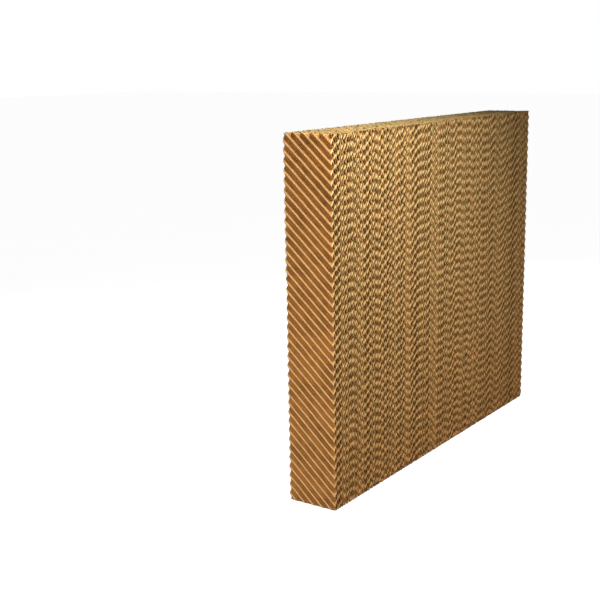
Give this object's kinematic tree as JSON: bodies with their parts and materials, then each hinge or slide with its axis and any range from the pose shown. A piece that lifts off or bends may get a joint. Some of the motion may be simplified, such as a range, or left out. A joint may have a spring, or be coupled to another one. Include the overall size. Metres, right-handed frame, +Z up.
{
  "type": "evaporative cooling pad",
  "caption": "Upright block of corrugated kraft paper sheets glued crest to crest, flutes crossing, for wetting and cooling air that passes through it.",
  "frame": {"origin": "centre of the bottom face, on which the pad stands", "axes": "+X across the stacked sheets, +Y through the pad along the air flow, +Z up"},
  "size_m": [1.2, 0.15, 1],
  "materials": {
    "kraft_paper": "matte resin-stiffened kraft paper with paler sawn edges"
  },
  "bodies": {
    "root": {"left_end_sheet": "kraft_paper", "right_end_sheet": "kraft_paper", "glued_pairs_1": "kraft_paper", "glued_pairs_2": "kraft_paper", "glued_pairs_3": "kraft_paper", "glued_pairs_4": "kraft_paper", "glued_pairs_5": "kraft_paper", "glued_pairs_6": "kraft_paper", "glued_pairs_7": "kraft_paper", "glued_pairs_8": "kraft_paper", "glued_pairs_9": "kraft_paper", "glued_pairs_10": "kraft_paper", "glued_pairs_11": "kraft_paper", "glued_pairs_12": "kraft_paper", "glued_pairs_13": "kraft_paper", "glued_pairs_14": "kraft_paper", "glued_pairs_15": "kraft_paper", "glued_pairs_16": "kraft_paper"}
  },
  "joints": []
}
